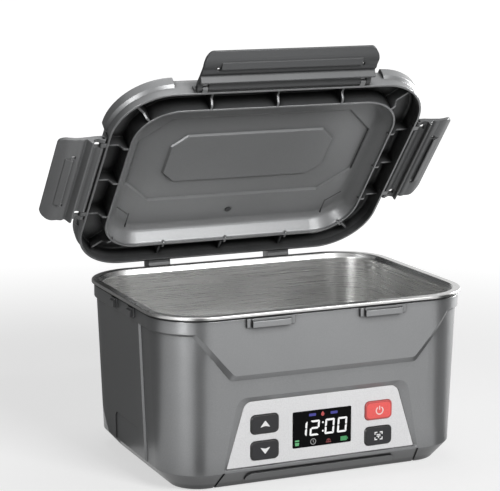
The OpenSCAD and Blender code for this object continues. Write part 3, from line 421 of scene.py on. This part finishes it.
before = len(dressed)
dress("food_pot", brushed_steel("stainless_steel_pressed_brushed", "BFBFBE", 0.27, depth_mm=0.002))
dress("well_liner", brushed_steel("aluminium_drawn_liner", "C4C5C6", 0.34, 0.8))
dress("heating_plate", brushed_steel("aluminium_milled_plate", "C8C9CA", 0.3, 0.7))
for node in ("cover_screws", "board_screws", "heater_straps"):
    dress(node, brushed_steel(f"steel_zinc_plated_{node}", "A9ABAF", 0.36, 0.4))
for node in ("hinge_pins", "front_latch_pin", "side_latch_pins"):
    dress(node, brushed_steel(f"steel_ground_{node}", "BFC0C3", 0.22, 0.3))
dress("thermal_fuse", brushed_steel("copper_tinned_fuse", "C9C9CC", 0.3, 0.4))
print("metal on", len(dressed) - before, "solids")

# %% [markdown]
# Rubber and silicone are softer than plastic and have no shine of their own. The feet, the seal,
# the keypad, the vent plug and the sleeves of the wires are made of them. A wide, weak sheen
# stands for the fine dust that such a surface always holds.

# %% Rubber and silicone


def soft_rubber(name, code, roughness=0.7, grain_mm=0.8):
    """Matt rubber: even colour, fine pores and a trace of sheen."""
    material, shader = new_material(
        name, colour(code), roughness, Sheen_Weight=0.15, Sheen_Roughness=0.5)
    tree = material.node_tree
    place = add_node(tree, "ShaderNodeTexCoord")
    pores = add_node(
        tree, "ShaderNodeTexVoronoi",
        {"Vector": place.outputs["Object"], "Scale": MM_PER_M / grain_mm})
    tone = add_node(
        tree, "ShaderNodeMapRange",
        {"Value": pores.outputs["Distance"], "From Min": 0.0, "From Max": 0.8, "To Min": 0.82,
         "To Max": 1.1})
    shade = add_node(
        tree, "ShaderNodeVectorMath", {0: colour(code)[:3], "Scale": tone.outputs[0]},
        operation="SCALE")
    tree.links.new(shade.outputs[0], shader.inputs["Base Color"])
    edge = add_node(tree, "ShaderNodeBevel", {"Radius": soft_edge_m}, samples=4)
    pore_depth_m = 0.00002
    bump = add_node(
        tree, "ShaderNodeBump",
        {"Height": pores.outputs["Distance"], "Distance": pore_depth_m, "Strength": 0.4,
         "Normal": edge.outputs[0]})
    tree.links.new(bump.outputs[0], shader.inputs["Normal"])
    return material


before = len(dressed)
dress("rubber_feet", soft_rubber("nitrile_rubber_feet", "1B1B1B"))
dress("rim_seal", soft_rubber("silicone_seal_black", "202021", 0.6))
dress("keypad_mat", soft_rubber("silicone_keypad_milky", "C9CAC6", 0.5))
dress("vent_plug", soft_rubber("silicone_plug_dark", "2A2A2C", 0.55))
dress("wire_loom", soft_rubber("silicone_wire_sleeve_red", "A3241D", 0.45, 1.2))
print("rubber and silicone on", len(dressed) - before, "solids")

# %% [markdown]
# Circuit boards are glass-fibre sheet under a thin green lacquer, with copper tracks that show
# through as paler green lines. A Brick texture draws the tracks as a grid of broken lines.

# %% Circuit boards


def circuit_board(name, along, across):
    """Green lacquered board with pale tracks in the plane of two axes."""
    material, shader = new_material(
        name, colour("1F5B3A"), 0.32, Coat_Weight=0.4, Coat_Roughness=0.15)
    tree = material.node_tree
    place = add_node(tree, "ShaderNodeTexCoord")
    split = add_node(tree, "ShaderNodeSeparateXYZ", {0: place.outputs["Object"]})
    flat = add_node(
        tree, "ShaderNodeCombineXYZ", {0: split.outputs[along], 1: split.outputs[across]})
    track_mm = 6
    tracks = add_node(
        tree, "ShaderNodeTexBrick",
        {"Vector": flat.outputs[0], "Scale": MM_PER_M / track_mm, "Mortar Size": 0.06,
         "Color1": colour("1C5234"), "Color2": colour("215E3D"), "Mortar": colour("3F8A5B")})
    tree.links.new(tracks.outputs["Color"], shader.inputs["Base Color"])
    track_height_m = 0.00004
    bump = add_node(
        tree, "ShaderNodeBump",
        {"Height": tracks.outputs["Fac"], "Distance": track_height_m, "Strength": 0.5})
    tree.links.new(bump.outputs[0], shader.inputs["Normal"])
    return material


dress("control_board", circuit_board("fr4_board_green_upright", "X", "Z"))
dress("power_board", circuit_board("fr4_board_green_flat", "X", "Y"))
print("lacquer on", dressed["control_board"], "and", dressed["power_board"])

# %% [markdown]
# The heater is a stack: flat resistance strips in mica sheet, a felt of ceramic fibre under it,
# and a porcelain thermostat. Mica splits into bright flakes, so its colour changes in patches
# with sharp borders, which a Voronoi texture gives. Felt is a tangle, which stretched noise
# gives. The same two textures, very faint, mark the shrunk plastic sleeves of the battery cells.

# %% Heater materials and battery sleeves


def patchy_sheet(name, pale, dark, patch_mm, roughness, stretch=(1, 1, 1), depth_mm=0.05,
                 **sockets):
    """Mineral sheet, felt or sleeve: two tones in patches or fibres, with a shallow relief."""
    material, shader = new_material(name, colour(pale), roughness, **sockets)
    tree = material.node_tree
    place = add_node(tree, "ShaderNodeTexCoord")
    size = add_node(
        tree, "ShaderNodeMapping",
        {"Vector": place.outputs["Object"],
         "Scale": tuple(MM_PER_M / patch_mm * s for s in stretch)})
    patches = add_node(
        tree, "ShaderNodeTexVoronoi", {"Vector": size.outputs[0], "Scale": 1.0})
    fibres = add_node(
        tree, "ShaderNodeTexNoise", {"Vector": size.outputs[0], "Scale": 2.5, "Detail": 5.0})
    blend = add_node(
        tree, "ShaderNodeMath", {0: patches.outputs["Distance"], 1: fibres.outputs["Fac"]},
        operation="MULTIPLY")
    tint = add_node(
        tree, "ShaderNodeMix",
        {0: blend.outputs[0], MIX_FIRST: colour(pale), MIX_SECOND: colour(dark)},
        data_type="RGBA")
    tree.links.new(tint.outputs[MIX_RESULT], shader.inputs["Base Color"])
    bump = add_node(
        tree, "ShaderNodeBump",
        {"Height": blend.outputs[0], "Distance": depth_mm / MM_PER_M, "Strength": 0.6})
    tree.links.new(bump.outputs[0], shader.inputs["Normal"])
    return material


before = len(dressed)
dress("heating_element", patchy_sheet(
    "mica_sheet_with_strips", "B8A27A", "6F5A3A", 5, 0.45, Coat_Weight=0.2))
dress("insulation_pad", patchy_sheet(
    "ceramic_fibre_felt", "E4DFD0", "B9B29E", 2, 0.9, (1, 4, 1), 0.2))
dress("thermostat", patchy_sheet(
    "porcelain_glazed_white", "E8E4D6", "D8D3C2", 8, 0.2, depth_mm=0.005, Coat_Weight=0.5))
dress("battery_cells", patchy_sheet(
    "pvc_shrink_sleeve_blue", "2F6C9A", "24557B", 14, 0.3, (0.3, 1, 1), 0.01, Coat_Weight=0.3))
print("heater and battery materials on", len(dressed) - before, "solids")

# %% [markdown]
# The display is a lens of smoked acrylic over a module with lit segments. Unlit acrylic is
# almost black. Its shine is set low, because a full mirror of the white room would wash out the
# digits. The socket at the back is glass-filled PBT, black and a little shiny.

# %% Display lens and socket
dress("display_window", moulded_plastic(
    "acrylic_smoked_polished", "030304", 0.08, grain_mm=2, depth_mm=0.001, edge_mm=0.1,
    Specular_IOR_Level=0.08))
dress("display_module", moulded_plastic("polycarbonate_black_module", "18181A", 0.4))
dress("power_inlet", moulded_plastic("pbt_glass_filled_black", "151516", 0.34, grain_mm=0.8))
print("lens, module and socket dressed")

# %% [markdown]
# Some pieces are too thin for the solids: the soft caps of the keys, ink, and the bars of light
# under the lens. Each is drawn as outlines in millimetres on the front of the box and raised
# into a thin plate with BMesh, and it rides on the body that carries it, so that it moves with
# its key.

# %% Thin plates on the front


def rounded_outline(mid_x, mid_z, width, height, radius, steps=6):
    """Outline of a rounded rectangle in millimetres, on the front."""
    side, top = width / 2 - radius, height / 2 - radius
    points = []
    for sx, sz, start in ((1, 1, 0), (-1, 1, 90), (-1, -1, 180), (1, -1, 270)):
        for i in range(steps + 1):
            a = math.radians(start + 90 * i / steps)
            points.append((mid_x + sx * side + radius * math.cos(a),
                           mid_z + sz * top + radius * math.sin(a)))
    return points


def raise_outline(shape, outline, face_y, rise_mm, ease_mm):
    """Adds one plate to a BMesh; with an ease, its front edge is drawn in by that much."""
    mid_x = sum(x for x, z in outline) / len(outline)
    mid_z = sum(z for x, z in outline) / len(outline)
    rings = [(0, 0), (rise_mm * 0.5, 0), (rise_mm, ease_mm)] if ease_mm else [(0, 0), (rise_mm, 0)]
    loops = []
    for up, pull in rings:
        y = face_y - up / MM_PER_M
        loop = []
        for x, z in outline:
            reach = math.hypot(x - mid_x, z - mid_z)
            keep = (reach - pull) / reach if reach else 1
            loop.append(shape.verts.new(((mid_x + (x - mid_x) * keep) / MM_PER_M, y,
                                         (mid_z + (z - mid_z) * keep) / MM_PER_M)))
        loops.append(loop)
    for low, high in zip(loops, loops[1:]):
        for i in range(len(low)):
            j = (i + 1) % len(low)
            shape.faces.new((low[i], low[j], high[j], high[i]))
    shape.faces.new(loops[-1])


def raised_mark(name, outlines, face_y, body, material, rise_mm, ease_mm=0.0):
    """Thin raised piece on the front that rides on a body: one plate for each outline."""
    shape = bmesh.new()
    for outline in outlines:
        raise_outline(shape, outline, face_y, rise_mm, ease_mm)
    bmesh.ops.recalc_face_normals(shape, faces=shape.faces)
    mesh = bpy.data.meshes.new(name)
    shape.to_mesh(mesh)
    shape.free()
    mesh.materials.append(material)
    piece = bpy.data.objects.new(name, mesh)
    bpy.context.scene.collection.objects.link(piece)
    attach(piece, body)


print("helpers: rounded_outline, raise_outline, raised_mark")

# %% [markdown]
# The four keys have a dark skirt with a slightly paler soft cap set on it, which leaves a narrow
# darker rim all round: this rim is painted shade at the key's edge. The cap is its own piece here:
# a rounded plate, proud by 0.12 mm, that rides on the key. The power key is coral red.

# %% Keys
cap_w, cap_h, cap_r, cap_rise, cap_ease = 18.6, 11.0, 2.7, 0.12, 0.08
# painted shade: the skirts are darker than the caps, so the rim round each cap reads as shade
charcoal_skirt = moulded_plastic(
    "abs_button_skirt_black", "19191A", 0.34, grain_mm=0.8, edge_mm=0.25)
charcoal_cap = moulded_plastic(
    "tpe_button_cap_charcoal", "303032", 0.5, edge_mm=0.1, Specular_IOR_Level=0.25)
coral_skirt = moulded_plastic(
    "abs_button_skirt_red", "C4504E", 0.34, grain_mm=0.8, edge_mm=0.25)
coral_cap = moulded_plastic("tpe_button_cap_coral", "EE625E", 0.42, edge_mm=0.1)
middles = {}
for name in ("up", "down", "power", "mode"):
    low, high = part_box(f"{name}_button")
    x, z = (low[0] + high[0]) / 2 * MM_PER_M, (low[2] + high[2]) / 2 * MM_PER_M
    face_y = low[1]
    middles[name] = (x, z, face_y)
    skirt, cap = (coral_skirt, coral_cap) if name == "power" else (charcoal_skirt, charcoal_cap)
    dress(f"{name}_button", skirt)
    raised_mark(f"{name}_cap", [rounded_outline(x, z, cap_w, cap_h, cap_r)], face_y,
                f"button_{name}", cap, cap_rise, cap_ease)
print("key middles", {n: [round(v, 2) for v in m[:2]] for n, m in middles.items()})
print("solids dressed:", len(dressed), "of", len(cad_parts))

# %% [markdown]
# The signs on the keys are drawn from a few shapes round a middle of their own, so that they
# can be set anywhere: a piece of a ring, a plain block, and a helper that rounds the corners of
# an outline with a short curve.

# %% Shapes for the signs


def arc(mid_x, mid_z, outer, inner, start, end, steps=28):
    """Outline of a piece of a ring between two angles in degrees."""
    turn = [math.radians(start + (end - start) * i / steps) for i in range(steps + 1)]
    return [(mid_x + outer * math.cos(a), mid_z + outer * math.sin(a)) for a in turn] + [
        (mid_x + inner * math.cos(a), mid_z + inner * math.sin(a)) for a in reversed(turn)]


def block(x0, z0, x1, z1):
    """Outline of a plain block between two corners."""
    return [(x0, z0), (x1, z0), (x1, z1), (x0, z1)]


def soften(outline, radius, steps=3):
    """Rounds each corner with a curve that takes up less than half of the sides beside it."""
    most_of_side = 0.45
    points = []
    for i, (x, z) in enumerate(outline):
        arms = []
        for px, pz in (outline[i - 1], outline[(i + 1) % len(outline)]):
            reach = math.hypot(px - x, pz - z)
            take = min(radius, reach * most_of_side) / reach
            arms.append((x + (px - x) * take, z + (pz - z) * take))
        for k in range(steps + 1):
            t = k / steps
            points.append(tuple(
                (1 - t) ** 2 * a + 2 * t * (1 - t) * m + t * t * b
                for a, m, b in zip(arms[0], (x, z), arms[1])))
    return points


def moved(outlines, mid_x, mid_z):
    """Outlines drawn round their own middle, set at a place on the front."""
    return [[(mid_x + x, mid_z + z) for x, z in outline] for outline in outlines]


print("helpers: arc, block, soften, moved")

# %% [markdown]
# The signs are printed with a thick ink, so they stand 0.04 mm above the caps: an arrowhead up,
# one down, the usual broken ring with a bar for power in pale pink, and a framed block for the
# choice of programme. Screen printing leaves a faint mesh in the ink, which a fine noise gives.

# %% Signs on the keys


def screen_ink(name, base, dark, pale, mesh_mm=0.4):
    """Printed ink with the faint mesh of the printing screen."""
    material, shader = new_material(name, colour(base), 0.5)
    tree = material.node_tree
    place = add_node(tree, "ShaderNodeTexCoord")
    mesh_mark = add_node(
        tree, "ShaderNodeTexNoise",
        {"Vector": place.outputs["Object"], "Scale": MM_PER_M / mesh_mm, "Detail": 2.0})
    tone = add_node(
        tree, "ShaderNodeMix",
        {0: mesh_mark.outputs["Fac"], MIX_FIRST: colour(dark), MIX_SECOND: colour(pale)},
        data_type="RGBA")
    tree.links.new(tone.outputs[MIX_RESULT], shader.inputs["Base Color"])
    return material


def arrowhead(way, half_w=3.8, tip=2.7, foot=2.2, notch=1.2):
    """A notched arrowhead that points up for 1 and down for -1."""
    head = [(0, way * tip), (half_w, -way * foot), (0, -way * notch), (-half_w, -way * foot)]
    return [soften(head, 0.8)]


def power_ring(outer=3.1, inner=2.25, half_gap_deg=32, half_bar=0.43, shift_x=0.6):
    """A ring that is open at the top, with an upright bar in the gap."""
    ring = arc(0, -0.2, outer, inner, 90 + half_gap_deg, 450 - half_gap_deg)
    return moved([ring, soften(block(-half_bar, 0.2, half_bar, 3.2), 0.2)], shift_x, 0)


def framed_block(far_x=3.2, far_z=3.0, near=1.0, stroke=0.8):
    """Four corner brackets round a small sign of three blocks."""
    in_x, in_z = far_x - stroke, far_z - stroke
    bracket = [(far_x, far_z), (far_x, near), (in_x, near), (in_x, in_z), (near, in_z),
               (near, far_z)]
    marks = [[(sx * x, sz * z) for x, z in bracket] for sx in (-1, 1) for sz in (-1, 1)]
    return marks + [block(-1.5, 0.5, 1.5, 1.2), block(-1.5, -0.6, 1.5, 0.1),
                    block(-0.35, -1.7, 0.35, -0.6)]


ink_rise = 0.04
white_ink = screen_ink("ink_screen_printed_white", "F2F2F2", "E9E9E9", "FAFAFA")
pink_ink = screen_ink("ink_screen_printed_pink", "FBD9D6", "F5CFCC", "FFE4E1")
for name, sign, ink in (("up", arrowhead(1), white_ink), ("down", arrowhead(-1), white_ink),
                        ("power", power_ring(), pink_ink), ("mode", framed_block(), white_ink)):
    x, z, face_y = middles[name]
    raised_mark(f"{name}_sign", moved(sign, x, z), face_y - cap_rise / MM_PER_M,
                f"button_{name}", ink, ink_rise)
print("signs on", len(middles), "keys")

# %% [markdown]
# The display glows: its colours are emitted, not lit. Each light is a small plastic guide, a
# little darker in places where the light doesn't reach it evenly. Places on the lens are given
# as shares of its width and height from its upper left corner, as they are measured in the
# photograph.

# %% Light guides
low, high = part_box("display_window")
window_y = low[1]
left_x, top_z = low[0] * MM_PER_M, high[2] * MM_PER_M
window_w, window_h = (high[0] - low[0]) * MM_PER_M, (high[2] - low[2]) * MM_PER_M
light_rise = 0.03


def glowing(name, code, strength):
    """Lit plastic: the colour that it sends out, with faint darker clouds."""
    material, shader = new_material(name, colour("101010"), 0.4, Emission_Strength=strength)
    tree = material.node_tree
    place = add_node(tree, "ShaderNodeTexCoord")
    cloud_mm = 3
    cloud = add_node(
        tree, "ShaderNodeTexNoise",
        {"Vector": place.outputs["Object"], "Scale": MM_PER_M / cloud_mm, "Detail": 1.0})
    tint = add_node(
        tree, "ShaderNodeMix",
        {0: cloud.outputs["Fac"], MIX_FIRST: tinted(code, 0.85), MIX_SECOND: colour(code)},
        data_type="RGBA")
    tree.links.new(tint.outputs[MIX_RESULT], shader.inputs["Emission Color"])
    return material


def on_display(u, v):
    """Place on the window from its left and upper edge, as shares of its size."""
    return left_x + u * window_w, top_z - v * window_h


print("lens, mm:", round(window_w, 2), "by", round(window_h, 2))

# %% [markdown]
# The clock shows seven-segment digits. Each segment has slanted ends, so neighbours meet in a
# thin dark cut. Three bars are drawn and the other four mirror them. One table says which
# segments light for each figure, and every digit leans by 4 degrees.

# %% Digits of the clock
SEGMENTS = {"0": "abcdef", "1": "bc", "2": "abged"}
digit_w, digit_h, stroke, cut = 7.3, 11.0, 1.4, 0.26
lean = math.tan(math.radians(4))
tip, nick, slit, point_share = 0.5, 0.35, 0.1, 0.55
side_low, mid_low, inner_low = 0.3, 0.15, 0.7


def segment_bars():
    """The seven bars of an upright digit round its middle, by their usual letters."""
    w, h = digit_w / 2, digit_h / 2
    in_w, in_h, point = w - stroke, h - stroke, w - stroke * point_share
    bars = {
        "a": [(-w + cut + tip, h), (w - cut - tip, h), (w - cut, h - nick),
              (in_w - cut, in_h), (-in_w + cut, in_h), (-w + cut, h - nick)],
        "b": [(w, h - cut - tip), (w, side_low), (w - stroke * 0.5, mid_low),
              (in_w, inner_low), (in_w, in_h - cut), (w - nick, h - cut - slit)],
        "g": [(-in_w + slit, stroke / 2), (in_w - slit, stroke / 2), (point, 0),
              (in_w - slit, -stroke / 2), (-in_w + slit, -stroke / 2), (-point, 0)],
    }
    bars["d"] = [(x, -z) for x, z in bars["a"]]
    bars["c"] = [(x, -z) for x, z in bars["b"]]
    bars["f"] = [(-x, z) for x, z in bars["b"]]
    bars["e"] = [(-x, -z) for x, z in bars["b"]]
    return bars


def digit(figure, mid_x, mid_z):
    """Outlines of one leaning digit."""
    bars = segment_bars()
    return [[(mid_x + x + z * lean, mid_z + z) for x, z in bars[s]] for s in SEGMENTS[figure]]


lit_bars = []
for figure, u in (("1", 0.162), ("2", 0.374), ("0", 0.630), ("0", 0.846)):
    lit_bars += digit(figure, *on_display(u, 0.49))
for v in (0.36, 0.60):
    lit_bars.append(rounded_outline(*on_display(0.514, v), 1.15, 1.3, 0.3, 2))
raised_mark("clock_digits", lit_bars, window_y, "base",
            glowing("led_white_segments", "FFFFFF", 1.0), light_rise)
print("lit bars:", len(lit_bars))

# %% [markdown]
# Small coloured signs stand above and below the digits: two blue bars, a red drop for heat, a
# green cup, a pale clock, a dark red lamp and a green battery. They are dimmer than the digits.
# One table holds for each its light, its colour, its places on the lens and its outlines.

# %% Small signs on the display


def heat_drop(half_w=1.25, height=1.5, steps=20):
    """A drop with a pointed top: a circle that narrows upwards and is pulled up at its tip."""
    points = []
    for i in range(steps):
        a = math.tau * i / steps
        up = max(0, math.cos(a))
        points.append((half_w * math.sin(a) * (1 - 0.35 * up),
                       -0.2 + height * math.cos(a) + 0.3 * up ** 4))
    return points


small_signs = (
    ("blue_bars", "led_blue_dim", "39389A", ((0.335, 0.118), (0.705, 0.118)),
     [rounded_outline(0, 0, 5.4, 1.9, 0.5, 2)]),
    ("red_drop", "led_red", "C04A48", ((0.510, 0.115),), [heat_drop()]),
    ("green_cup", "led_green", "63B87A", ((0.074, 0.86),),
     [block(-1.6, 0.9, 1.6, 2.0), [(-1.6, 0.2), (1.6, 0.2), (1.3, -2.0), (-1.3, -2.0)]]),
    ("pale_clock", "led_white_dim", "9A9A9A", ((0.349, 0.866),),
     [arc(0, 0, 2.25, 1.75, 0, 180), arc(0, 0, 2.25, 1.75, 180, 360),
      block(-0.22, -0.1, 0.22, 1.3), [(-0.1, 0.15), (1.0, -0.7), (0.75, -1.0), (-0.25, -0.15)]]),
    ("dark_red_lamp", "led_red_dim", "7A2428", ((0.612, 0.885),),
     [arc(0, -0.3, 1.6, 0.9, 0, 180), block(-2.0, -1.5, 2.0, -0.7),
      block(-0.4, -0.5, 0.4, 0.5)]),
    ("green_battery", "led_green_dim", "3F9A5C", ((0.880, 0.883),),
     [soften(block(-2.7, -1.6, 2.2, 1.6), 0.4), block(2.4, -0.7, 3.0, 0.7)]),
)
for name, light, code, places, outlines in small_signs:
    marks = [mark for u, v in places for mark in moved(outlines, *on_display(u, v))]
    raised_mark(name, marks, window_y, "base", glowing(light, code, 0.9), light_rise)
print("small signs:", sum(len(places) for _, _, _, places, _ in small_signs))

# %% [markdown]
# Last, colours are shown as they are written, with the Standard view transform.

# %% Finish: view transform
bpy.context.scene.view_settings.view_transform = "Standard"
